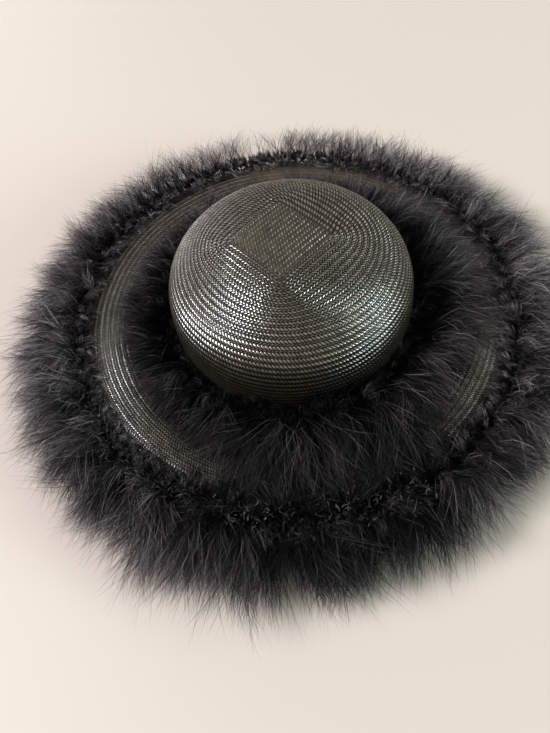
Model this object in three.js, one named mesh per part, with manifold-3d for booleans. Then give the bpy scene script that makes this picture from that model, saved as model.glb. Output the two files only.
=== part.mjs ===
// A wide-brimmed hat of glazed black straw: a woven crown, a woven brim and two rings of marabou
// down, one round the foot of the crown and one over the edge of the brim.
// Millimetres, +Z up. The origin lies under the middle of the crown, on the surface the hat rests on.
import * as THREE from "three";
import { mergeVertices } from "three/addons/utils/BufferGeometryUtils.js";
import Module from "manifold-3d";

const wasm = await Module();
wasm.setup();

// Driving dimensions
const crownRadius = 90;
const crownTop = 97;
const shoulderStart = 32; // height where the wall starts to round over into the dome
const domeRoundness = 2.8; // exponent of the dome's outline: 2 is an ellipse, more is squarer
const strawWall = 1.6;
const seatGap = 0.3; // running gap between pieces that are sewn together
const collarTop = 33; // the brim's collar stands this high inside the crown
const crestRadius = 150; // the brim rises to here and rolls down to its edge
const bareFrom = 151; // the edge down starts here, and the straw inside it is bare
const edgeDownRadius = 204; // outer radius of the solid part of the edge down
const segments = 48;
const domeSteps = 10;

// Heights of the brim's upper face, from the headline to the edge
const brimTop = [
  { place: "headline", radius: crownRadius - strawWall - seatGap, height: 20.2 },
  { place: "flat", radius: 106, height: 19.9 },
  { place: "rise", radius: 134, height: 22.6 },
  { place: "crest", radius: crestRadius, height: 24.4 },
  { place: "roll", radius: 158, height: 23.4 },
  { place: "fall", radius: 165, height: 20.4 },
  { place: "edge", radius: 170, height: 16.6 },
];

// Section of the edge down's body outside the brim, from under the edge round to its inner top
const edgeDownSection = [
  { place: "under the edge", radius: 170.4, height: 14.4 },
  { place: "inner foot", radius: 166, height: 0 },
  { place: "outer foot", radius: edgeDownRadius - 4, height: 0 },
  { place: "outer side", radius: edgeDownRadius, height: 6 },
  { place: "outer fall", radius: 199, height: 17 },
  { place: "upper fall", radius: 187, height: 28 },
  { place: "top", radius: 171, height: 35 },
  { place: "inner top", radius: 158, height: 32 },
];

// Section of the crown down's body above the brim, from its outer tip to the crown's wall
const crownDownSection = [
  { place: "outer foot", radius: 122, height: 22.6 },
  { place: "outer fall", radius: 116, height: 28 },
  { place: "top", radius: 104, height: 31.5 },
  { place: "at the wall", radius: crownRadius + 2 * seatGap, height: 30.5 },
];

// Rows of locks: where a lock is rooted, where its tip lies, how thick it is at the root and how far
// it bows up on the way. Tips vary by spread, in a fixed uneven order that repeats each quarter turn.
const edgeLocks = [
  { name: "hem", count: 40, turn: 0, rootRadius: 184, rootHeight: 8,
    tipRadius: 216, tipHeight: 3, thickness: 15, bow: 3, spread: 5 },
  { name: "rise", count: 32, turn: 0.5, rootRadius: 170, rootHeight: 24,
    tipRadius: 206, tipHeight: 27, thickness: 16, bow: 6, spread: 5 },
];
const crownLocks = [
  { name: "fringe", count: 24, turn: 0, rootRadius: 104, rootHeight: 27,
    tipRadius: 136, tipHeight: 26, thickness: 12, bow: 5, spread: 3 },
];
const frontFullness = 8; // the fringe reaches this much further at the front, and less at the back
const fullestAt = THREE.MathUtils.degToRad(285);
const lockSides = 4;
const lockFlatness = 0.62; // height of a lock's section over its width
const lockTaper = 0.3; // width of a lock's blunt tip over its width at the root
const goldenPart = 0.618034;

const point = (radius, height) => new THREE.Vector2(radius, height);
const rowPoint = (row) => point(row.radius, row.height);

// The line moved sideways by a distance, to the left of the way it runs
function offsetLine(line, distance) {
  return line.map((here, i) => {
    const before = line[Math.max(i - 1, 0)];
    const after = line[Math.min(i + 1, line.length - 1)];
    const along = after.clone().sub(before).normalize();
    return point(here.x - along.y * distance, here.y + along.x * distance);
  });
}

// A profile of radius and height turned about the Z axis. It starts and ends on the axis, or at one point.
function turned(profile) {
  return solidFrom(new THREE.LatheGeometry(profile, segments).rotateX(Math.PI / 2));
}

function turnedRing(profile) {
  return turned([...profile, profile[0]]);
}

// A closed geometry as a manifold-3d solid, its faces turned to point outwards
function solidFrom(geometry) {
  geometry.deleteAttribute("normal");
  geometry.deleteAttribute("uv");
  const merged = mergeVertices(geometry, 1e-4);
  const vertProperties = merged.attributes.position.array;
  const triVerts = new Uint32Array(merged.index.array);
  const made = new wasm.Manifold(new wasm.Mesh({ numProp: 3, vertProperties, triVerts }));
  if (made.volume() > 0) return made;
  for (let i = 0; i < triVerts.length; i += 3) {
    [triVerts[i + 1], triVerts[i + 2]] = [triVerts[i + 2], triVerts[i + 1]];
  }
  return new wasm.Manifold(new wasm.Mesh({ numProp: 3, vertProperties, triVerts }));
}

function meshOf(name, solid, material) {
  const { numProp, numVert, vertProperties, triVerts } = solid.getMesh();
  const places = new Float32Array(numVert * 3);
  for (let i = 0; i < numVert; i++) {
    places.set(vertProperties.subarray(i * numProp, i * numProp + 3), i * 3);
  }
  const geometry = new THREE.BufferGeometry();
  geometry.setAttribute("position", new THREE.BufferAttribute(places, 3));
  geometry.setIndex(new THREE.BufferAttribute(triVerts, 1));
  geometry.computeVertexNormals();
  const mesh = new THREE.Mesh(geometry, material);
  mesh.name = name;
  return mesh;
}

// Crown: one thin shell, a short wall that rounds over into a flattened dome
function domeLine(radius, top) {
  const line = [];
  for (let i = 0; i <= domeSteps; i++) {
    const swing = (i / domeSteps) * (Math.PI / 2);
    const out = Math.cos(swing) ** (2 / domeRoundness);
    const up = Math.sin(swing) ** (2 / domeRoundness);
    const onAxis = i === domeSteps;
    line.push(point(onAxis ? 0 : radius * out, shoulderStart + (top - shoulderStart) * up));
  }
  return line;
}

// grow swells the crown or the brim a little, to cut its neighbours clear of it
const crownFoot = brimTop[0].height + seatGap;
function crownSolid(grow) {
  const outside = [
    point(crownRadius + grow, crownFoot - grow),
    ...domeLine(crownRadius + grow, crownTop + grow),
  ];
  const inside = [
    point(crownRadius - strawWall, crownFoot - grow),
    ...domeLine(crownRadius - strawWall, crownTop - strawWall),
  ];
  return turned([...outside.reverse(), ...inside]);
}

// Brim: a thin ring with a collar that stands inside the crown
const brimTopLine = brimTop.map(rowPoint);
function brimSolid(grow) {
  const top = offsetLine(brimTopLine, grow);
  const under = offsetLine(brimTopLine, -strawWall - grow);
  const collarOuter = brimTop[0].radius + grow;
  const collarInner = brimTop[0].radius - strawWall - grow;
  top[0] = point(collarOuter, brimTop[0].height + grow);
  under[0] = point(collarInner, brimTop[0].height - strawWall - grow);
  const edge = grow ? [point(brimTop.at(-1).radius + 2 * grow, brimTop.at(-1).height - 1)] : [];
  return turnedRing([
    point(collarInner, collarTop + grow),
    point(collarOuter, collarTop + grow),
    ...top,
    ...edge,
    ...under.reverse(),
  ]);
}

// A lock of down: a flattened blunt cone that bows up a little between its root and its tip
function lockShape(row, reach) {
  const root = new THREE.Vector3(row.rootRadius, 0, row.rootHeight);
  const outwards = Math.sign(row.tipRadius - row.rootRadius);
  const tip = new THREE.Vector3(row.tipRadius + outwards * reach, 0, row.tipHeight);
  const way = tip.clone().sub(root);
  const length = way.length();
  const sideways = new THREE.Vector3(0, 1, 0);
  const tipThickness = row.thickness * lockTaper;
  const cone = new THREE.CylinderGeometry(tipThickness, row.thickness, length, lockSides, 2);
  cone.translate(0, length / 2, 0);
  cone.scale(1, 1, lockFlatness);
  way.normalize();
  cone.applyMatrix4(new THREE.Matrix4().makeBasis(sideways, way, sideways.clone().cross(way)));
  const places = cone.attributes.position;
  for (let i = 0; i < places.count; i++) {
    const part = new THREE.Vector3().fromBufferAttribute(places, i).dot(way) / length;
    places.setZ(i, places.getZ(i) + row.bow * 4 * part * (1 - part));
  }
  return cone.translate(root.x, root.y, root.z);
}

// A row of locks fused to a body. fuller gives the extra reach at an angle round the hat.
function withLocks(body, row, fuller) {
  const perQuarter = row.count / 4;
  let whole = body;
  for (let i = 0; i < row.count; i++) {
    const angle = ((i + row.turn) / row.count) * 2 * Math.PI;
    const uneven = 1 - 2 * (((i % perQuarter) * goldenPart) % 1);
    const reach = uneven * row.spread + fuller(angle);
    whole = whole.add(solidFrom(lockShape(row, reach).rotateZ(angle)));
  }
  return whole;
}

const brimGrown = brimSolid(seatGap);
const crownGrown = crownSolid(seatGap);
const even = () => 0;
const fullerInFront = (angle) => frontFullness * Math.cos(angle - fullestAt);

function edgeDownSolid() {
  const onBrim = offsetLine(brimTopLine.slice(3), 2 * seatGap);
  onBrim[0] = point(bareFrom, onBrim[0].y);
  let down = turnedRing([...onBrim, ...edgeDownSection.map(rowPoint)]);
  for (const row of edgeLocks) {
    down = withLocks(down, row, even);
  }
  return down.subtract(brimGrown).trimByPlane([0, 0, 1], 0);
}

function crownDownSolid() {
  const onBrim = offsetLine(brimTopLine.slice(0, 2), 2 * seatGap);
  onBrim[0] = point(crownRadius + 2 * seatGap, onBrim[0].y);
  let down = turnedRing([...onBrim, ...crownDownSection.map(rowPoint)]);
  for (const row of crownLocks) {
    down = withLocks(down, row, fullerInFront);
  }
  return down.subtract(brimGrown).subtract(crownGrown);
}

// Materials: dark olive glazed straw and soft black down
const strawMaterial = new THREE.MeshStandardMaterial({
  color: 0x2b2924,
  roughness: 0.38,
  metalness: 0,
});
const downMaterial = new THREE.MeshStandardMaterial({
  color: 0x161417,
  roughness: 0.85,
  metalness: 0,
});

const hat = new THREE.Group();
hat.add(
  meshOf("crown", crownSolid(0), strawMaterial),
  meshOf("brim", brimSolid(0), strawMaterial),
  meshOf("crown_marabou", crownDownSolid(), downMaterial),
  meshOf("edge_marabou", edgeDownSolid(), downMaterial),
);

export default hat;
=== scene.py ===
import math
from functools import partial
import bpy
import numpy as np
from mathutils import Matrix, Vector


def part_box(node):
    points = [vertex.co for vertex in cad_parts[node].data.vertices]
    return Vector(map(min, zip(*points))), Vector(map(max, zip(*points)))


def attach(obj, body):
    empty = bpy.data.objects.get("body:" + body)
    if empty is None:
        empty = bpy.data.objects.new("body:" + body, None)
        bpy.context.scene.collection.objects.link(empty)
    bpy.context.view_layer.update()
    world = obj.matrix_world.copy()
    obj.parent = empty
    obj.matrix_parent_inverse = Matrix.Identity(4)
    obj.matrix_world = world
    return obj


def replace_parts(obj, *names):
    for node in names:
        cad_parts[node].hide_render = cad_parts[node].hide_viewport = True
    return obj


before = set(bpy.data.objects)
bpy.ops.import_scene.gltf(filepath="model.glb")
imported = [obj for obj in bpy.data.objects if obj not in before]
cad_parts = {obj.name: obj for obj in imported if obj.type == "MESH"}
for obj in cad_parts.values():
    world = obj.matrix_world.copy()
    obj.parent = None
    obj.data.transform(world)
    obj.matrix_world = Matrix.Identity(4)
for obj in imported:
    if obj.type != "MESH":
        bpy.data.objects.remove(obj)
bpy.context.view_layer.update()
crownLow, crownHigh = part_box("crown")
crownRadius = crownHigh.x
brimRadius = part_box("brim")[1].x
mm = 0.001
quarterTurn = math.pi / 2

# Camera at the photograph's angle: from above the front and a little rolled
camera = {"place": (-0.0191, -0.2600, 0.3628), "tiltDown": 58.84, "roll": -7.68, "lens": 27.0}

print("camera")
bpy.ops.object.select_all(action="DESELECT")
bpy.ops.object.camera_add()
shot = bpy.context.object
shot.data.lens = camera["lens"]
shot.matrix_world = (Matrix.Translation(camera["place"])
                     @ Matrix.Rotation(math.radians(90 - camera["tiltDown"]), 4, "X")
                     @ Matrix.Rotation(math.radians(camera["roll"]), 4, "Z"))
bpy.context.scene.camera = shot


def newMaterial(name):
    made = bpy.data.materials.new(name)
    made.use_nodes = True
    tree = made.node_tree
    tree.nodes.clear()
    shader = tree.nodes.new("ShaderNodeBsdfPrincipled")
    output = tree.nodes.new("ShaderNodeOutputMaterial")
    tree.links.new(shader.outputs[0], output.inputs["Surface"])
    return made, tree, shader


def mathNode(tree, operation, first, second=None, third=None, clamp=False):
    node = tree.nodes.new("ShaderNodeMath")
    node.operation = operation
    node.use_clamp = clamp
    for socket, value in zip(node.inputs, (first, second, third)):
        if value is None:
            continue
        if isinstance(value, (int, float)):
            socket.default_value = value
        else:
            tree.links.new(value, socket)
    return node.outputs[0]


def between(tree, part, low, high):
    # low where part is 0 and high where it is 1
    return mathNode(tree, "MULTIPLY_ADD", part, high - low, low)


def mixColours(tree, part, first, second):
    node = tree.nodes.new("ShaderNodeMix")
    node.data_type = "RGBA"
    for socket, value in ((node.inputs[0], part), (node.inputs[6], first), (node.inputs[7], second)):
        if isinstance(value, tuple):
            socket.default_value = value
        else:
            tree.links.new(value, socket)
    return node.outputs[2]


def noiseNode(tree, place, scale, detail):
    node = tree.nodes.new("ShaderNodeTexNoise")
    node.inputs["Scale"].default_value = scale
    node.inputs["Detail"].default_value = detail
    tree.links.new(place, node.inputs["Vector"])
    return node.outputs[0]


def attributeNode(tree, name):
    node = tree.nodes.new("ShaderNodeAttribute")
    node.attribute_name = name
    return node.outputs["Fac"]


# The weave, shared by the crown and the brim. Each row is a plait of two plies, which together stand
# up as one ridge.
weave = {
    "rowPitch": 4.2 * mm,    # one ridge of the plait to the next
    "stalkPitch": 2.5 * mm,  # one stalk to the next along a row
    "wall": 1.3 * mm,
    "crestPart": 0.5,        # where across a row its ridge is highest
    "ridgeFullness": 0.8,    # 1 is a plain arch, and less is fuller
}

# Straw: glazed dark olive stalks. In each ply the stalks show as short grains that lean the other way
# from the next ply's. A pair is a value where its cause is 0 and where it is 1.
# Its colour and glaze carry painted shade: in the hollows between grains, on the lower ply and under the
# down.
strawLook = {
    "lit": (0.112, 0.088, 0.056, 1),       # top of a grain, as painted in full light
    "shaded": (0.003, 0.0026, 0.002, 1),   # painted shade in the hollow between grains
    "plyPart": 0.62,                       # share of a row that its upper ply takes
    "lean": 0.9,                           # how far a grain leans across its ply, in stalks
    "waver": 0.3, "waverScale": 160,       # unevenness of the lean, in stalks
    "grainDepth": 0.2 * mm,
    "grainRelief": (0.2, 1.0),             # share of that depth on flat straw and on ridged straw
    "dents": 1.3, "dentScale": 130,        # unevenness of the face, in grain depths
    "grainEdgeShade": 1.25,                     # how fast painted shade darkens a grain towards its edges
    "plyPaintedShade": (1.15, 0.5),               # upper ply, and the lower one darkened with painted shade as it tucks under
    "flatTone": (0.40, 0.0),               # least painted grain light, on flat straw and on ridged straw
    "blotchTones": (0.6, 1.4), "blotchScale": 45,  # over patches of a few centimetres
    "stalkTones": (0.65, 1.35),            # from one stalk to another
    "paintedDownShadeTones": (1.0, 0.2),            # painted shade: full colour in the open, darker under the down
    "roughness": (0.25, 0.43),             # by patches too
    "glaze": (0.3, 2.1),                   # on flat straw and on ridged straw
    "stalkGlaze": (0.55, 1.25),
    "specular": 0.12, "glazeRoughness": 0.27, "glazeIor": 3.0,
}


def plaitGrain(tree, along, across, place):
    # height of the grain from 0 to 1, the ply that it lies in, and its place along the row in stalks
    calc = partial(mathNode, tree)
    part = strawLook["plyPart"]
    inRow = calc("FRACT", across)
    lower = calc("GREATER_THAN", inRow, part)
    upperPly = calc("DIVIDE", inRow, part, clamp=True)
    lowerPly = calc("DIVIDE", calc("SUBTRACT", inRow, part), 1 - part, clamp=True)
    inPly = calc("FRACT", calc("ADD", upperPly, lowerPly))
    stalks = calc("MULTIPLY", calc("SUBTRACT", inPly, 0.5), between(tree, lower, -1, 1))
    stalks = calc("MULTIPLY_ADD", stalks, strawLook["lean"], along)
    stalks = calc("MULTIPLY_ADD", lower, 0.5, stalks)
    waver = noiseNode(tree, place, strawLook["waverScale"], 2.0)
    stalks = calc("MULTIPLY_ADD", waver, strawLook["waver"], stalks)
    grainAlong = calc("COSINE", calc("MULTIPLY", stalks, 2 * math.pi))
    grainAlong = calc("MULTIPLY_ADD", grainAlong, -0.5, 0.5)
    grainAcross = calc("SINE", calc("MULTIPLY", inPly, math.pi))
    return calc("MULTIPLY", grainAlong, grainAcross), lower, stalks


def stalkNumber(tree, stalks, across, lower):
    # a number of its own for each stalk, because no two are quite the same brown
    calc = partial(mathNode, tree)
    cell = tree.nodes.new("ShaderNodeCombineXYZ")
    tree.links.new(calc("FLOOR", stalks), cell.inputs[0])
    tree.links.new(calc("MULTIPLY_ADD", calc("FLOOR", across), 2.0, lower), cell.inputs[1])
    number = tree.nodes.new("ShaderNodeTexWhiteNoise")
    number.noise_dimensions = "2D"
    tree.links.new(cell.outputs[0], number.inputs["Vector"])
    return number.outputs["Value"]


def strawMaterial():
    look = strawLook
    made, tree, shader = newMaterial("glazedStraw")
    calc = partial(mathNode, tree)
    weaveMap = tree.nodes.new("ShaderNodeUVMap")
    weaveMap.uv_map = "weave"
    split = tree.nodes.new("ShaderNodeSeparateXYZ")
    tree.links.new(weaveMap.outputs[0], split.inputs[0])
    along, across = split.outputs[0], split.outputs[1]
    place = tree.nodes.new("ShaderNodeTexCoord").outputs["Object"]
    relief = attributeNode(tree, "raised")
    outOfPaintedShade = between(tree, attributeNode(tree, "paintedDownShade"), *look["paintedDownShadeTones"])
    grain, lower, stalks = plaitGrain(tree, along, across, place)
    number = stalkNumber(tree, stalks, across, lower)
    blotch = noiseNode(tree, place, look["blotchScale"], 3.0)

    height = calc("MULTIPLY", grain, between(tree, relief, *look["grainRelief"]))
    dent = noiseNode(tree, place, look["dentScale"], 1.0)
    height = calc("MULTIPLY_ADD", dent, look["dents"], height)
    bump = tree.nodes.new("ShaderNodeBump")
    bump.inputs["Strength"].default_value = 1.0
    bump.inputs["Distance"].default_value = look["grainDepth"]
    tree.links.new(height, bump.inputs["Height"])
    tree.links.new(bump.outputs[0], shader.inputs["Normal"])
    tree.links.new(bump.outputs[0], shader.inputs["Coat Normal"])

    # painted shade: the colour darkens from a grain's top towards its edges and into the hollows between
    # grains, and the lower ply is darker
    paintedGrainLight = calc("POWER", grain, look["grainEdgeShade"])
    paintedGrainLight = calc("MULTIPLY", paintedGrainLight, between(tree, lower, *look["plyPaintedShade"]))
    paintedGrainLight = calc("MAXIMUM", paintedGrainLight, between(tree, relief, *look["flatTone"]))
    lightness = calc("MULTIPLY", paintedGrainLight, between(tree, blotch, *look["blotchTones"]))
    lightness = calc("MULTIPLY", lightness, between(tree, number, *look["stalkTones"]))
    # painted shade of the down, darkening the straw that it lies over
    lightness = calc("MULTIPLY", lightness, outOfPaintedShade)
    colour = mixColours(tree, lightness, look["shaded"], look["lit"])
    tree.links.new(colour, shader.inputs["Base Color"])
    tree.links.new(between(tree, blotch, *look["roughness"]), shader.inputs["Roughness"])

    # the glaze lies on the grains and hardly reaches down between them, which also keeps reflections out of
    # the hollows as painted shade, and the down's painted shade dims it further
    glaze = calc("MULTIPLY", paintedGrainLight, between(tree, relief, *look["glaze"]), clamp=True)
    glaze = calc("MULTIPLY", glaze, between(tree, number, *look["stalkGlaze"]))
    tree.links.new(calc("MULTIPLY", glaze, outOfPaintedShade, clamp=True), shader.inputs["Coat Weight"])
    shader.inputs["Specular IOR Level"].default_value = look["specular"]
    shader.inputs["Coat Roughness"].default_value = look["glazeRoughness"]
    shader.inputs["Coat IOR"].default_value = look["glazeIor"]
    return made


straw = strawMaterial()


# The straw starts as a flat sheet: a line of rows is spun into a disc or a ring, and the sheet is
# then drawn over its block, as a hatter does
def spunSheet(name, inner, outer, rowSteps, turns):
    bpy.ops.object.select_all(action="DESELECT")
    bpy.ops.mesh.primitive_plane_add(size=mm)
    sheet = bpy.context.object
    sheet.name = sheet.data.name = name
    bpy.ops.object.mode_set(mode="EDIT")
    bpy.ops.mesh.select_all(action="SELECT")
    bpy.ops.mesh.merge(type="CENTER")
    bpy.ops.transform.translate(value=(inner, 0, 0))
    half = (outer - inner) / 2
    for _ in range(2):
        bpy.ops.mesh.extrude_region_move(TRANSFORM_OT_translate={"value": (half, 0, 0)})
    bpy.ops.mesh.select_all(action="SELECT")
    bpy.ops.mesh.subdivide(number_cuts=rowSteps // 2 - 1)
    bpy.ops.mesh.select_all(action="SELECT")
    bpy.ops.mesh.spin(steps=turns, angle=2 * math.pi, center=(0, 0, 0), axis=(0, 0, 1))
    bpy.ops.mesh.select_all(action="SELECT")
    bpy.ops.mesh.remove_doubles(threshold=0.00001)
    bpy.ops.mesh.normals_make_consistent(inside=False)
    bpy.ops.object.mode_set(mode="OBJECT")
    return sheet


def verticesOf(piece):
    places = np.empty(len(piece.data.vertices) * 3)
    piece.data.vertices.foreach_get("co", places)
    return places.reshape(-1, 3)


def cornersOf(mesh):
    # vertex and face of each corner, and how many corners each face has
    vertex = np.empty(len(mesh.loops), np.int64)
    mesh.loops.foreach_get("vertex_index", vertex)
    total = np.empty(len(mesh.polygons), np.int64)
    mesh.polygons.foreach_get("loop_total", total)
    return vertex, np.repeat(np.arange(len(mesh.polygons)), total), total


def faceMean(corners, values):
    vertex, face, total = corners
    return (np.bincount(face, values[vertex]) / total)[face]


def smoothStep(low, high, value):
    part = np.clip((value - low) / (high - low), 0, 1)
    return part * part * (3 - 2 * part)


def roundTable(table, degrees):
    # what a table of azimuth and value gives at any azimuth round the hat
    azimuths, values = np.array(table + ((table[0][0] + 360, table[0][1]),)).T
    return np.interp((degrees - azimuths[0]) % 360 + azimuths[0], azimuths, values)


def halfTurnEachWay(angle):
    return (angle + math.pi) % (2 * math.pi) - math.pi


def lengthAlong(radius, height):
    return np.concatenate(([0], np.cumsum(np.hypot(np.diff(radius), np.diff(height)))))


def drawnOver(block, along, lift):
    # radius and height of straw that lies a length along its block and is lifted off it
    length, radius, height = block
    slopeOut = np.interp(along, length, np.gradient(radius, length))
    slopeUp = np.interp(along, length, np.gradient(height, length))
    return (np.interp(along, length, radius) - slopeUp * lift,
            np.interp(along, length, height) + slopeOut * lift)


def rowProfile(row):
    part = (row / weave["rowPitch"]) % 1
    crest = weave["crestPart"]
    swing = np.where(part < crest, part / crest, (1 - part) / (1 - crest)) * quarterTurn
    return np.sin(swing) ** weave["ridgeFullness"]


def finishStraw(piece, places, weaveMap, raised, paintedDownShade):
    mesh = piece.data
    mesh.vertices.foreach_set("co", places.ravel())
    mesh.uv_layers.new(name="weave").data.foreach_set("uv", weaveMap.ravel())
    mesh.attributes.new("raised", "FLOAT", "POINT").data.foreach_set("value", raised)
    mesh.attributes.new("paintedDownShade", "FLOAT", "POINT").data.foreach_set("value", paintedDownShade)
    mesh.update()
    bpy.context.view_layer.objects.active = piece
    bpy.ops.object.mode_set(mode="EDIT")
    bpy.ops.mesh.select_all(action="SELECT")
    bpy.ops.mesh.normals_make_consistent(inside=False)
    bpy.ops.object.mode_set(mode="OBJECT")
    thick = piece.modifiers.new("wall", "SOLIDIFY")
    thick.thickness = weave["wall"]
    thick.offset = -1
    bpy.ops.object.modifier_apply(modifier=thick.name)
    bpy.ops.object.shade_smooth()
    mesh.materials.append(straw)
    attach(piece, "root")


# Crown: rows start as a square on top, run round its corners in parallel and end as circles
crown = {
    "wallTop": 32 * mm,        # the block is upright up to here
    "roundness": 2.8,          # outline of the dome: 2 is an ellipse, more is squarer
    "blockSteps": 400,
    "squareTurn": 39,          # degrees from +X to the middle of a side of the square
    "squareSide": 26.6 * mm,   # row that is still a true square
    "halfSide": 23.4 * mm,     # half the side of that square
    "squareEdge": (0.8, 1.3),  # where the look of the square ends, in parts of squareSide
    "squareCentre": (-4.8 * mm, -0.8 * mm),
    "roundFrom": 78 * mm,      # row that is a true circle
    "ridge": 0.82 * mm, "ridgeInside": 0.34 * mm, "ridgeWall": 0.45 * mm,
    "wallRows": (102 * mm, 118 * mm),      # the ridges grow fainter over these rows
    "paintedDownShadeRows": (86 * mm, 106 * mm),  # the down's painted shade begins over these rows
    "sunk": 0.8,               # share of the ridge that lies under the block's face
    "flatInside": 0.55,        # share of the grain's relief that is lost inside the square
    "stagger": 0.382,          # each row's stalks start this much later than the last one's
    "turns": 216, "stepsPerRow": 5,
}


def crownBlock():
    # length from the top, radius and height along the block
    swing = np.linspace(quarterTurn, 0, crown["blockSteps"])
    power = 2 / crown["roundness"]
    radius = crownRadius * np.cos(swing) ** power
    height = crown["wallTop"] + (crownHigh.z - crown["wallTop"]) * np.sin(swing) ** power
    radius[0] = 0
    radius = np.append(radius, crownRadius)
    height = np.append(height, crownLow.z)
    return lengthAlong(radius, height), radius, height


def squareReach(row, turned):
    # how far a row lies from the middle: squares inside, then parallel rows round the corners
    side, half = crown["squareSide"], crown["halfSide"]
    fold = np.abs((turned + quarterTurn / 2) % quarterTurn - quarterTurn / 2)
    low, high = np.sin(fold), np.cos(fold)
    beyond = np.maximum(row - side, 0)
    straight = (np.minimum(row * half / side, half) + beyond) / high
    corner = half * (high + low) + np.sqrt(np.maximum(beyond ** 2 - half ** 2 * (high - low) ** 2, 0))
    return np.where((half + beyond) * low > half * high, corner, straight)


def crownLift(row, squareRow, inside):
    onWall = smoothStep(*crown["wallRows"], row)
    ridge = crown["ridge"] * (1 - onWall) + crown["ridgeWall"] * onWall
    ridge = ridge * (1 - inside) + crown["ridgeInside"] * inside
    profile = rowProfile(np.where(row < crown["squareSide"], squareRow, row))
    return profile * ridge - crown["ridge"] * crown["sunk"]


def crownWeaveMap(mesh, block, row, turned, squareX, squareRow):
    # a whole number of stalks goes into each quarter of a row, so that rows close on themselves
    corners = cornersOf(mesh)
    vertex = corners[0]
    length, radius, _ = block
    rowPitch, stalkPitch = weave["rowPitch"], weave["stalkPitch"]
    middle = np.arctan2(faceMean(corners, np.sin(turned)), faceMean(corners, np.cos(turned)))
    sector = np.round(middle / quarterTurn) * quarterTurn
    fromMiddle = halfTurnEachWay(turned[vertex] - sector)
    faceRow = faceMean(corners, row)
    rowNumber = np.floor(faceRow / rowPitch)
    rowRadius = np.interp((rowNumber + 0.5) * rowPitch, length, radius)
    inQuarter = np.maximum(np.round(rowRadius * quarterTurn / stalkPitch), 1)
    stalks = fromMiddle / quarterTurn * inQuarter + rowNumber * crown["stagger"]
    inSquare = faceRow < crown["squareSide"]
    stalks = np.where(inSquare, squareX[vertex] / stalkPitch, stalks)
    rows = np.where(inSquare, squareRow[vertex] / rowPitch, row[vertex] / rowPitch)
    return np.column_stack((stalks, rows))


def weaveCrown():
    block = crownBlock()
    blockLength = block[0][-1]
    rowCount = math.ceil(blockLength / weave["rowPitch"]) + 1
    rowCount += rowCount % 2
    outer, rowSteps = rowCount * weave["rowPitch"], rowCount * crown["stepsPerRow"]
    piece = spunSheet("crownWoven", 0, outer, rowSteps, crown["turns"])
    flat = verticesOf(piece)
    row = np.hypot(flat[:, 0], flat[:, 1])
    angle = np.arctan2(flat[:, 1], flat[:, 0])
    turned = angle - math.radians(crown["squareTurn"])
    squareness = 1 - smoothStep(crown["squareSide"], crown["roundFrom"], row)
    reach = squareReach(row, turned) * squareness + row * (1 - squareness)
    sheetX = reach * np.cos(angle) + crown["squareCentre"][0] * squareness
    sheetY = reach * np.sin(angle) + crown["squareCentre"][1] * squareness
    along = np.minimum(np.hypot(sheetX, sheetY), blockLength)
    around = np.arctan2(sheetY, sheetX)

    # inside the square the rows run straight across, all one way
    squareX = reach * np.cos(turned)
    squareRow = reach * np.sin(turned) * crown["squareSide"] / crown["halfSide"]
    fadeFrom, fadeTo = crown["squareEdge"]
    inside = 1 - smoothStep(crown["squareSide"] * fadeFrom, crown["squareSide"] * fadeTo, row)
    radius, height = drawnOver(block, along, crownLift(row, squareRow, inside))
    places = np.column_stack((radius * np.cos(around), radius * np.sin(around), height))
    weaveMap = crownWeaveMap(piece.data, block, row, turned, squareX, squareRow)
    raised = 1 - inside * crown["flatInside"]
    finishStraw(piece, places, weaveMap, raised, smoothStep(*crown["paintedDownShadeRows"], row))
    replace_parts(piece, "crown")


print("crown")
weaveCrown()

# Brim: rings all the way, faint on the flat and strong where the brim rolls over
brim = {
    # radius and height of the upper face in millimetres, from the headline to the edge
    "line": ((88.1, 20.2), (106, 19.9), (134, 22.6), (150, 24.4), (158, 23.4), (165, 20.4), (170, 16.6)),
    "lineSteps": 300,
    "easing": 15,                         # the line's corners are rounded over these steps each way
    "collarTop": 33 * mm,
    "ridgeFlat": 0.03 * mm, "ridgeCrest": 0.64 * mm,
    "ridgesGrow": (118 * mm, 132 * mm),   # from the flat's ridge to the crest's, between these radii
    "sunk": 0.2 * mm,                     # how far the ridges' feet lie under the line
    # how strongly the rows stand out, by azimuth in degrees: the brim is smooth at the back right
    "rowsShow": ((0, 0.1), (50, 0), (94, 0), (101, 0.9), (120, 1), (325, 1), (340, 0.3)),
    "flatRelief": 0.2,                    # share of the grain's relief on the flat
    # painted shade of the down, which darkens the straw's colour and glaze under it:
    "edgePaintedShade": (157 * mm, 164 * mm),    # the edge down's shade begins between these radii
    "edgePaintedShadeFurther": 7 * mm,           # and lies this much further in where the rows show
    "footPaintedShade": (97 * mm, 106 * mm),     # the shade at the foot of the crown ends between these
    "fringePaintedShade": (124 * mm, 136 * mm),  # and the fringe's fainter one, where the rows show, here
    "fringePaintedShadeShare": 0.75,
    "turns": 240, "stepsPerRow": 5,
}


def brimLine():
    # length from the headline, radius and height along the upper face, its corners eased
    knots = np.array(brim["line"]) * mm
    knotLength = lengthAlong(knots[:, 0], knots[:, 1])
    fine = np.linspace(0, knotLength[-1], brim["lineSteps"])
    radius = np.interp(fine, knotLength, knots[:, 0])
    height = np.interp(fine, knotLength, knots[:, 1])
    easing = brim["easing"]
    kernel = np.hanning(2 * easing + 1) / np.hanning(2 * easing + 1).sum()
    height = np.convolve(np.pad(height, easing, mode="edge"), kernel, mode="valid")
    return lengthAlong(radius, height), radius, height


brimBlock = brimLine()


def brimTopAt(radius):
    return np.interp(radius, brimBlock[1], brimBlock[2])


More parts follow.
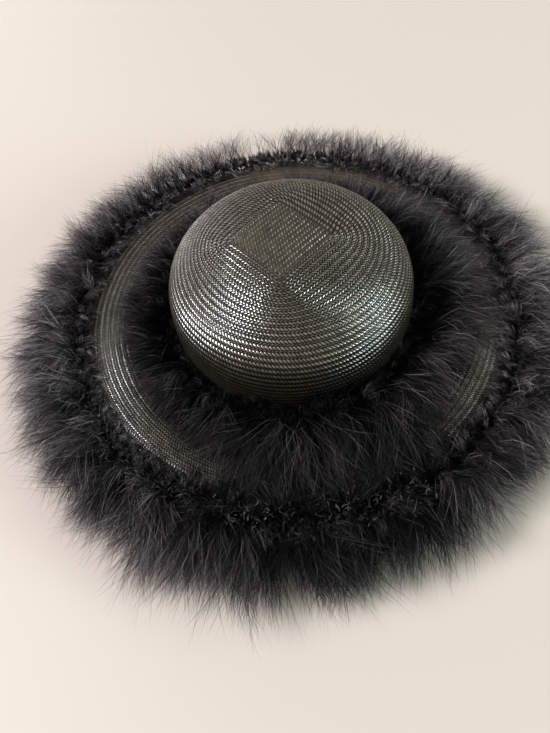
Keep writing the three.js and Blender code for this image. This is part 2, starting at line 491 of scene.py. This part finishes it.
def brimPaintedShade(radius, showing):
    # painted shade: 0 in the open and 1 where the down lies over the straw
    low, high = brim["edgePaintedShade"]
    further = brim["edgePaintedShadeFurther"] * showing
    edgeDownPaintedShade = smoothStep(low - further, high - further, radius)
    fringe = brim["fringePaintedShadeShare"] * showing * (1 - smoothStep(*brim["fringePaintedShade"], radius))
    return np.maximum(edgeDownPaintedShade, 1 - smoothStep(*brim["footPaintedShade"], radius) * (1 - fringe))


def brimWeaveMap(mesh, row, around):
    corners = cornersOf(mesh)
    vertex = corners[0]
    middle = np.arctan2(faceMean(corners, np.sin(around)), faceMean(corners, np.cos(around)))
    fromMiddle = halfTurnEachWay(around[vertex] - middle)
    stalks = (middle + fromMiddle) * round(brimRadius / weave["stalkPitch"])
    return np.column_stack((stalks, row[vertex] / weave["rowPitch"]))


def weaveBrim():
    headline, headlineHeight = np.array(brim["line"][0]) * mm
    collar = brim["collarTop"] - headlineHeight
    lineLength = brimBlock[0][-1]
    rowSteps = round((lineLength + collar) / weave["rowPitch"]) * brim["stepsPerRow"]
    rowSteps += rowSteps % 2
    piece = spunSheet("brimWoven", headline - collar, headline + lineLength, rowSteps, brim["turns"])
    flat = verticesOf(piece)
    row = np.hypot(flat[:, 0], flat[:, 1]) - headline
    around = np.arctan2(flat[:, 1], flat[:, 0])
    along = np.maximum(row, 0)
    showing = roundTable(brim["rowsShow"], np.degrees(around) % 360)
    strength = smoothStep(*brim["ridgesGrow"], np.interp(along, brimBlock[0], brimBlock[1])) * showing
    ridge = brim["ridgeFlat"] * (1 - strength) + brim["ridgeCrest"] * strength
    # the part of the sheet inside the headline stands up as a smooth collar
    lift = (rowProfile(row) * ridge - brim["sunk"]) * (row >= 0)
    radius, height = drawnOver(brimBlock, along, lift)
    height += np.maximum(-row, 0)
    places = np.column_stack((radius * np.cos(around), radius * np.sin(around), height))
    raised = brim["flatRelief"] + (1 - brim["flatRelief"]) * strength
    weaveMap = brimWeaveMap(piece.data, row, around)
    finishStraw(piece, places, weaveMap, raised, brimPaintedShade(radius, showing))
    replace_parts(piece, "brim")


print("brim")
weaveBrim()

# Down: feathers of fine barbs on a thread. Each feather is a short shaft whose barbs fan out from it
# and bend back towards the way it points.
down = {
    "seed": 11,
    "colourRoot": (0.0012, 0.001, 0.0012, 1), "colourTip": (0.275, 0.243, 0.262, 1),
    "roughness": 0.45, "specular": 0.04,
    "tufts": 90,                       # feathers of one tuft share a tone and a way to lean
    "floor": 0.5 * mm,                 # nothing hangs lower
    "offStraw": (0.5, 2.2),            # least and most height over the brim, in millimetres
    "offFloor": 0.3,                   # share of that height over the floor
    "throughBrim": 4 * mm,             # what is less than this under the brim's top is lifted over it
    "offCrown": 0.8 * mm,              # barbs stay this far off the crown's wall
    "crownUpTo": 4 * mm,               # and do so up to this far above it
    "furthest": (230 * mm, 243 * mm),  # wisps past the first are drawn in to stay inside the second
}

# What varies by chance. A pair is the least and the most, and one value is the usual spread. Angles
# are in radians. A skew makes pale ones rarer, and its gain makes up for that.
chances = {
    "scatter": 0.9,               # of a feather's place, in parts of the way to the next
    "yaw": 0.32, "tuftYaw": 0.07, "curl": 0.26,
    "reach": (0.93, 1.06), "rootHeight": 1.2 * mm,
    "featherTone": (0.1, 1.0), "featherSkew": 1.3, "featherGain": 1.3, "tuftTone": (0.35, 1.5),
    "barbFrom": (0, 0.38),        # where a barb starts, in parts of its feather's reach
    "barbLength": (0.79, 1.06),   # in parts of what is left of the reach there
    "shortLength": (0.08, 0.36),  # of a broken barb, in parts of its whole length
    "opening": 0.55,              # in parts of the layer's opening
    "bend": 0.12, "droop": (0.6, 1.3), "width": (0.6, 1.25),
    "barbTone": (0.05, 1.0), "barbSkew": 1.7, "barbGain": 1.5, "guardTone": (0.22, 0.5),
}

# One barb
barb = {
    "part": np.array((0, 0.38, 0.72, 1.0)),   # its points, from root to tip
    "taper": np.array((0.8, 1.0, 0.7, 0.0)),  # and its width at them
    "opening": 0.36,     # radians between it and its shaft, where a layer gives no other
    "bendBack": 0.6,     # how much of that it makes up for by bending
    "brokenFrom": 0.3,   # a broken barb starts nearer to the root, by this factor
    "rootTone": 0.15,    # tone at the root, and 1 more at the tip
    "rootFading": 0.4,   # share of the fading that there is at the root already
    "guardWidth": 1.1, "guardFading": 1.7, "brokenFading": 2.2,
}

# A ring of down. Its tables give values by azimuth in degrees: tips the radius that its tips reach in
# millimetres, droops how much the barbs sag, and sway how far feathers swing sideways. The paleness
# table says how much paler the barbs' ends get: partly their own pale ends and partly painted light,
# which on the edge ring is paler at the sides and back, where the lamps light the down, and darkest at
# the front, and on the crown's ring paler at the right, over the crown's shadow. At the edge thinness
# is the share of barbs that are broken short, gap adds to it where the ring's ends meet, and inwards
# lengthens what falls towards the crown.
# A layer's lift and its spread are in degrees above level, 180 being straight in towards the crown.
# reach is in parts of the way to the tips, opening the radians between a barb and its shaft, width
# and sink are in millimetres, tone is how pale barbs are at most, pale the share of guard hairs, and
# trim shortens a layer where the down is thin. from and to are the azimuths that it grows between.
edgeDown = {
    "rootRadius": 167 * mm, "rootHeight": 22.5 * mm, "rootSpread": 3.0 * mm,
    "tips": ((0, 217), (45, 210), (70, 206), (90, 207), (135, 214), (180, 223), (205, 225), (220, 221),
             (232, 226), (243, 229), (253, 228), (262, 225), (270, 219), (280, 214), (290, 218),
             (300, 215), (312, 212), (325, 215)),
    "droops": ((0, 0.9), (45, 0.5), (90, 0.35), (135, 0.5), (180, 0.9), (225, 0.85), (270, 0.9),
               (315, 1.0)),
    "thinness": ((0, 0.3), (40, 0.75), (90, 0.95), (118, 0.8), (140, 0.5), (180, 0.1), (225, 0),
                 (300, 0)),
    "gap": ((0, 0), (84, 0), (89, 0.75), (96, 0.75), (101, 0)),
    # painted light in the paleness: the ends pale at the sides and back, where the lamps light the down, and
    # stay dark at the front
    "paleEndsAndLight": ((0, 8.0), (45, 9.0), (90, 8.0), (135, 9.0), (180, 9.5), (215, 7.0), (242, 2.2),
               (262, 0.7), (290, 0.7), (330, 5.5)),
    "sway": ((0, 1.0), (225, 1.0), (246, 1.25), (292, 1.25), (320, 1.0)),
    "inwards": ((0, 1.2), (45, 1.05), (90, 1.0), (180, 0.8), (215, 0.65), (234, 0.75), (246, 1.3),
                (256, 1.7), (290, 1.9), (304, 1.4), (315, 0.7), (328, 0.7), (338, 1.3)),
    "layers": (
        # the hem over the table, the slope above it and its top
        {"feathers": 420, "barbs": 46, "lift": 2, "spread": 9, "reach": 1.07, "droop": 0.26,
         "width": 0.26, "tone": 0.25, "pale": 0.07, "thin": 1.0},
        {"feathers": 460, "barbs": 44, "lift": 22, "spread": 9, "reach": 1.04, "droop": 0.62,
         "width": 0.26, "tone": 0.27, "pale": 0.06, "thin": 1.0},
        {"feathers": 300, "barbs": 40, "lift": 50, "spread": 12, "reach": 0.60, "droop": 0.62,
         "width": 0.28, "tone": 0.215, "pale": 0.06, "thin": 1.0},
        # what falls inwards over the brim
        {"feathers": 600, "barbs": 17, "lift": 165, "spread": 10, "reach": 0.36, "droop": 0.12,
         "width": 0.28, "tone": 0.16, "pale": 0.04, "inwards": True},
        {"feathers": 240, "barbs": 34, "lift": 128, "spread": 16, "reach": 0.30, "droop": 0.30,
         "width": 0.28, "tone": 0.18, "pale": 0.0, "inwards": True},
        # dense dark down under the rest, below the edge and along the thread
        {"feathers": 900, "barbs": 12, "lift": -30, "spread": 24, "reach": 0.66, "droop": 0.05,
         "width": 0.42, "tone": 0.13, "pale": 0.0, "sink": 3, "trim": 0.6},
        {"feathers": 750, "barbs": 12, "lift": 90, "spread": 48, "reach": 0.18, "droop": 0.10,
         "width": 0.34, "tone": 0.055, "pale": 0.0, "sink": 1, "trim": 0.75},
        # the thin far side: long loose wisps over a low dark hedge
        {"from": 12, "to": 168, "feathers": 820, "barbs": 7, "lift": 30, "spread": 12, "reach": 0.86,
         "droop": 0.5, "width": 0.20, "tone": 0.27, "pale": 0.04, "opening": 0.17, "thin": 0.0},
        {"from": 8, "to": 172, "feathers": 560, "barbs": 11, "lift": 34, "spread": 12, "reach": 0.30,
         "droop": 0.4, "width": 0.34, "tone": 0.14, "pale": 0.0, "opening": 0.3, "sink": 3},
    ),
    # barbs that broke near the thread and curled up: pairs as above, in millimetres, but outwards is
    # the middle and the spread, and along is the tone at the root and at the tip
    "curls": {"count": 1600, "between": (192, 292), "outwards": (3, 7), "above": (4, 13),
              "flatness": 0.5, "bow": (1.0, 2.7), "opening": 0.5, "sweep": (0.8, 2.6),
              "width": (0.5, 1.1), "taper": np.array((0.5, 0.9, 1, 1, 0.85, 0.6, 0)),
              "tone": (0.06, 0.46), "skew": 1.6, "along": (0.7, 1.1)},
}
crownDown = {
    "rootRadius": 96 * mm, "rootHeight": 25.5 * mm, "rootSpread": 2.5 * mm,
    "tips": ((0, 147), (30, 145), (60, 139), (90, 133), (135, 128), (185, 131), (225, 136), (242, 143),
             (256, 152), (296, 157), (311, 139), (328, 137), (338, 150)),
    "droops": ((0, 1.0), (90, 1.0), (180, 1.0), (270, 1.0)),
    # painted light in the paleness: paler at the right, over the shadow that the crown casts
    "paleEndsAndLight": ((0, 4.0), (50, 3.4), (90, 1.6), (180, 1.5), (225, 1.2), (290, 1.0), (315, 1.8),
               (335, 3.0)),
    "sway": ((0, 1.0), (180, 1.0)),
    "layers": (
        {"feathers": 330, "barbs": 40, "lift": 6, "spread": 7, "reach": 1.16, "droop": 0.10,
         "width": 0.28, "tone": 0.205, "pale": 0.045},
        {"feathers": 330, "barbs": 40, "lift": 25, "spread": 10, "reach": 1.08, "droop": 0.42,
         "width": 0.28, "tone": 0.225, "pale": 0.07},
        {"feathers": 220, "barbs": 30, "lift": 70, "spread": 26, "reach": 0.42, "droop": 0.35,
         "width": 0.30, "tone": 0.14, "pale": 0.0},
        {"feathers": 360, "barbs": 13, "lift": 125, "spread": 45, "reach": 0.16, "droop": 0.05,
         "width": 0.45, "tone": 0.055, "pale": 0.0, "sink": 2},
    ),
}


def downMaterial():
    made, tree, shader = newMaterial("blackDown")
    colour = mixColours(tree, attributeNode(tree, "tone"), down["colourRoot"], down["colourTip"])
    tree.links.new(colour, shader.inputs["Base Color"])
    shader.inputs["Roughness"].default_value = down["roughness"]
    shader.inputs["Specular IOR Level"].default_value = down["specular"]
    return made


blackDown = downMaterial()
up = np.array((0, 0, 1.0))


def unit(vectors):
    return vectors / (np.linalg.norm(vectors, axis=-1, keepdims=True) + 1e-12)


def outwards(around):
    return np.stack((np.cos(around), np.sin(around), np.zeros_like(around)), -1)


def roundwards(around):
    return np.stack((-np.sin(around), np.cos(around), np.zeros_like(around)), -1)


def layFeathers(look, layer, chance):
    # where each feather of a layer is rooted, which way it points and how far it reaches
    count, tufts = layer["feathers"], down["tufts"]
    first, last = math.radians(layer.get("from", 0)), math.radians(layer.get("to", 360))
    scatter = chance.uniform(-chances["scatter"], chances["scatter"], count)
    around = first + (np.arange(count) + scatter) * (last - first) / count
    degrees = np.degrees(around) % 360
    lift = np.radians(layer["lift"] + chance.normal(0, layer["spread"], count))
    yaw = chance.normal(0, chances["yaw"], count) * roundTable(look["sway"], degrees)
    tuft = (np.floor(around / (2 * math.pi) * tufts) % tufts).astype(int)
    yaw += chance.normal(0, chances["tuftYaw"], tufts)[tuft]
    shade = chances["featherGain"] * chance.uniform(*chances["featherTone"], count) ** chances["featherSkew"]
    shade = shade * chance.uniform(*chances["tuftTone"], tufts)[tuft]
    level = outwards(around) * np.cos(yaw)[:, None] + roundwards(around) * np.sin(yaw)[:, None]
    way = unit(level * np.cos(lift)[:, None] + up * np.sin(lift)[:, None])
    full = roundTable(look["tips"], degrees) * mm - look["rootRadius"]
    reach = full * layer["reach"] * chance.uniform(*chances["reach"], count)
    if "trim" in layer:
        reach *= 1 - layer["trim"] * roundTable(look["thinness"], degrees)
    if layer.get("inwards"):
        reach *= roundTable(look["inwards"], degrees)
    rootRadius = look["rootRadius"] + chance.normal(0, 1, count) * look["rootSpread"]
    root = outwards(around) * rootRadius[:, None]
    root[:, 2] = look["rootHeight"] - layer.get("sink", 0) * mm
    root[:, 2] += chance.normal(0, chances["rootHeight"], count)
    curl = roundwards(around) * chance.normal(0, chances["curl"], count)[:, None]
    return {"degrees": degrees, "root": root, "way": way, "reach": reach, "curl": curl, "shade": shade}


def growBarbs(look, layer, feathers, chance):
    # points, widths and tones of all the barbs of a layer, one row to a barb
    degrees = feathers["degrees"]
    count = len(degrees) * layer["barbs"]
    owner = np.repeat(np.arange(len(degrees)), layer["barbs"])
    way, reach = feathers["way"][owner], feathers["reach"][owner]
    short = np.zeros(count, bool)
    if "thin" in layer:
        share = roundTable(look["thinness"], degrees) * layer["thin"] + roundTable(look["gap"], degrees)
        short = chance.uniform(0, 1, count) < share[owner]
    onShaft = chance.uniform(*chances["barbFrom"], count)
    length = reach * (1 - onShaft) * chance.uniform(*chances["barbLength"], count)
    length *= np.where(short, chance.uniform(*chances["shortLength"], count), 1)
    onShaft *= np.where(short, barb["brokenFrom"], 1)

    # a barb leaves its shaft sideways, bends back along it and sags
    aside = unit(np.cross(way, chance.normal(size=(count, 3))))
    middling = layer.get("opening", barb["opening"])
    opening = np.abs(chance.normal(middling, middling * chances["opening"], count))
    start = way * np.cos(opening)[:, None] + aside * np.sin(opening)[:, None]
    bend = -aside * (np.sin(opening) * barb["bendBack"])[:, None] + feathers["curl"][owner]
    bend = bend + chance.normal(0, chances["bend"], (count, 3))
    droop = (layer["droop"] * roundTable(look["droops"], degrees))[owner]
    bend = bend - up * (droop * chance.uniform(*chances["droop"], count))[:, None]
    part = barb["part"][None, :, None]
    line = feathers["root"][owner][:, None] + (way * (reach * onShaft)[:, None])[:, None]
    line = line + length[:, None, None] * (start[:, None] * part + bend[:, None] * part ** 2)

    # guard hairs are a little wider and paler, and broken and sunken barbs don't fade to pale ends
    width = layer["width"] * mm * chance.uniform(*chances["width"], count)[:, None] * barb["taper"]
    light = chances["barbGain"] * layer["tone"] * feathers["shade"][owner]
    light = light * chance.uniform(*chances["barbTone"], count) ** chances["barbSkew"]
    guard = (chance.uniform(0, 1, count) < layer["pale"]) & ~short
    light = np.where(guard, chance.uniform(*chances["guardTone"], count), light)
    width = width * np.where(guard, barb["guardWidth"], 1)[:, None]
    # the ends' paleness carries painted light by azimuth as well as the barbs' own pale ends
    paleEndsAndLight = roundTable(look["paleEndsAndLight"], degrees)[owner]
    paleEndsAndLight = np.where(guard, np.minimum(paleEndsAndLight, barb["guardFading"]), paleEndsAndLight)
    dull = short | ("sink" in layer)
    paleEndsAndLight = np.where(dull, np.minimum(paleEndsAndLight, barb["brokenFading"]), paleEndsAndLight)
    fadedPart = barb["rootFading"] + (1 - barb["rootFading"]) * barb["part"]
    faded = 1 + (paleEndsAndLight[:, None] - 1) * fadedPart
    tone = np.clip(light[:, None] * (barb["rootTone"] + barb["part"]) * faded, 0, 1)
    return line, width, tone


def growCurls(look, chance):
    curls = look["curls"]
    count = curls["count"]
    around = np.radians(chance.uniform(*curls["between"], count))
    radius = look["rootRadius"] + chance.normal(*curls["outwards"], count) * mm
    start = outwards(around) * radius[:, None]
    start[:, 2] = look["rootHeight"] + chance.uniform(*curls["above"], count) * mm
    first = unit(chance.normal(size=(count, 3)) * (1, 1, curls["flatness"]))
    second = unit(np.cross(first, chance.normal(size=(count, 3))))
    bow = chance.uniform(*curls["bow"], count) * mm
    sweep = chance.uniform(*curls["sweep"], count)
    points = len(curls["taper"])
    swing = np.linspace(0, 1, points)[None, :] * sweep[:, None]
    wider = bow[:, None] * (1 + curls["opening"] * swing / sweep[:, None])
    line = start[:, None] + first[:, None] * (wider * np.sin(swing))[..., None]
    line = line + second[:, None] * (wider * (1 - np.cos(swing)))[..., None]
    width = chance.uniform(*curls["width"], count)[:, None] * mm * curls["taper"]
    tone = chance.uniform(*curls["tone"], count)[:, None] ** curls["skew"]
    tone = tone * np.linspace(*curls["along"], points)
    return line, width, np.clip(tone, 0, 1)


def keepClear(line, chance):
    # nothing reaches into the straw, the crown or the table
    radius = np.hypot(line[..., 0], line[..., 1])
    off = chance.uniform(*down["offStraw"], line.shape[0])[:, None] * mm
    top = brimTopAt(radius)
    overBrim = (radius < brimRadius) & (line[..., 2] > top - down["throughBrim"])
    lowest = np.where(overBrim, top + off, down["floor"] + off * down["offFloor"])
    line[..., 2] = np.maximum(line[..., 2], lowest)
    clear = crownRadius + down["offCrown"]
    beside = (radius < clear) & (line[..., 2] < crown["wallTop"] + down["crownUpTo"])
    line[..., :2] *= np.where(beside, clear / radius, 1)[..., None]
    begin, end = down["furthest"]
    away = np.abs(line[..., :2])
    nearer = begin + (end - begin) * np.tanh(np.maximum(away - begin, 0) / (end - begin))
    line[..., :2] = np.where(away > begin, np.copysign(nearer, line[..., :2]), line[..., :2])
    return line


def ribbonArrays(line, width, tone, chance):
    # line is barbs by points by xyz; each barb is a flat tapering ribbon that ends in a point
    barbs, points = line.shape[:2]
    way = np.gradient(line, axis=1)
    flat = unit(np.cross(way, chance.normal(size=(barbs, 1, 3))))
    half = flat * width[:, :, None] / 2
    body = np.stack((line - half, line + half), 2)[:, :-1].reshape(barbs, -1, 3)
    places = np.concatenate((body, line[:, -1:]), 1)
    quads = np.array([(2 * k, 2 * k + 1, 2 * k + 3, 2 * k + 2) for k in range(points - 2)]).ravel()
    last = 2 * (points - 2)
    oneBarb = np.concatenate((quads, (last, last + 1, last + 2)))
    corners = (np.arange(barbs) * places.shape[1])[:, None] + oneBarb
    sizes = np.tile([4] * (points - 2) + [3], barbs)
    tones = np.concatenate((np.repeat(tone[:, :-1], 2, 1), tone[:, -1:]), 1)
    return places.reshape(-1, 3), corners.ravel(), sizes, tones.ravel()


def ribbonMesh(name, parts):
    first = np.cumsum([0] + [len(part[0]) for part in parts[:-1]])
    corners = np.concatenate([part[1] + start for part, start in zip(parts, first)])
    places, sizes, tones = (np.concatenate([part[k] for part in parts]) for k in (0, 2, 3))
    mesh = bpy.data.meshes.new(name)
    mesh.vertices.add(len(places))
    mesh.vertices.foreach_set("co", places.ravel())
    mesh.loops.add(len(corners))
    mesh.loops.foreach_set("vertex_index", corners)
    mesh.polygons.add(len(sizes))
    mesh.polygons.foreach_set("loop_start", np.concatenate(([0], np.cumsum(sizes)[:-1])))
    mesh.update(calc_edges=True)
    mesh.attributes.new("tone", "FLOAT", "POINT").data.foreach_set("value", tones)
    mesh.polygons.foreach_set("use_smooth", np.ones(len(sizes), bool))
    mesh.materials.append(blackDown)
    piece = bpy.data.objects.new(name, mesh)
    bpy.context.scene.collection.objects.link(piece)
    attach(piece, "root")
    return piece


def growDown(names, look, node, seed):
    # each name is one piece: equal shares of the ring, from -X round by the front
    chance = np.random.default_rng(seed)
    grown = [growBarbs(look, layer, layFeathers(look, layer, chance), chance) for layer in look["layers"]]
    batches = [[np.concatenate(parts) for parts in zip(*grown)]]
    if "curls" in look:
        batches.append(growCurls(look, chance))
    pieces = [[] for _ in names]
    for line, width, tone in batches:
        line = keepClear(line, chance)
        order = np.argsort(np.arctan2(line[:, 0, 1], line[:, 0, 0]))
        for piece, chosen in zip(pieces, np.array_split(order, len(names))):
            piece.append(ribbonArrays(line[chosen], width[chosen], tone[chosen], chance))
    for name, parts in zip(names, pieces):
        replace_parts(ribbonMesh(name, parts), node)


print("down over the edge")
growDown(("edgeDownFront", "edgeDownRight", "edgeDownBack"), edgeDown, "edge_marabou", down["seed"])
print("down round the crown")
growDown(("crownDown",), crownDown, "crown_marabou", down["seed"] + 1)

# Table top and light, not part of the hat
table = {"size": 6, "colour": (0.538, 0.472, 0.424, 1), "roughness": 0.6}
lights = {
    "window": {"place": (-5.5, -0.5, 3.95), "size": (2.0, 1.3), "power": 750, "colour": (1.0, 0.985, 1.0)},
    "sideWindow": {"place": (-3.3, 5.5, 1.5), "size": (3.9, 1.9), "power": 120, "colour": (0.99, 0.96, 1.0)},
    "fill": {"place": (4.6, -2.2, 1.5), "size": (2.0, 1.6), "power": 270, "colour": (0.80, 1.0, 0.94)},
    "ceiling": {"place": (1.7, 1.1, 1.9), "size": (0.6, 0.6), "power": 11, "colour": (1.0, 0.97, 0.90)},
}
room = {"colour": (1.0, 0.955, 0.90, 1), "strength": 0.26}

print("table and light")
bpy.ops.object.select_all(action="DESELECT")
bpy.ops.mesh.primitive_plane_add(size=table["size"])
tableTop = bpy.context.object
tableTop.name = "table"
paleTable, tree, shader = newMaterial("paleTable")
shader.inputs["Base Color"].default_value = table["colour"]
shader.inputs["Roughness"].default_value = table["roughness"]
tableTop.data.materials.append(paleTable)

for name, look in lights.items():
    bpy.ops.object.select_all(action="DESELECT")
    bpy.ops.object.light_add(type="AREA", location=look["place"])
    lamp = bpy.context.object
    lamp.name = name
    lamp.data.shape = "RECTANGLE"
    lamp.data.size, lamp.data.size_y = look["size"]
    lamp.data.energy = look["power"]
    lamp.data.color = look["colour"]
    lamp.rotation_euler = (-lamp.location).to_track_quat("-Z", "Y").to_euler()
world = bpy.data.worlds.new("room")
bpy.context.scene.world = world
world.use_nodes = True
background = world.node_tree.nodes["Background"]
background.inputs["Color"].default_value = room["colour"]
background.inputs["Strength"].default_value = room["strength"]
bpy.context.scene.view_settings.view_transform = "Standard"
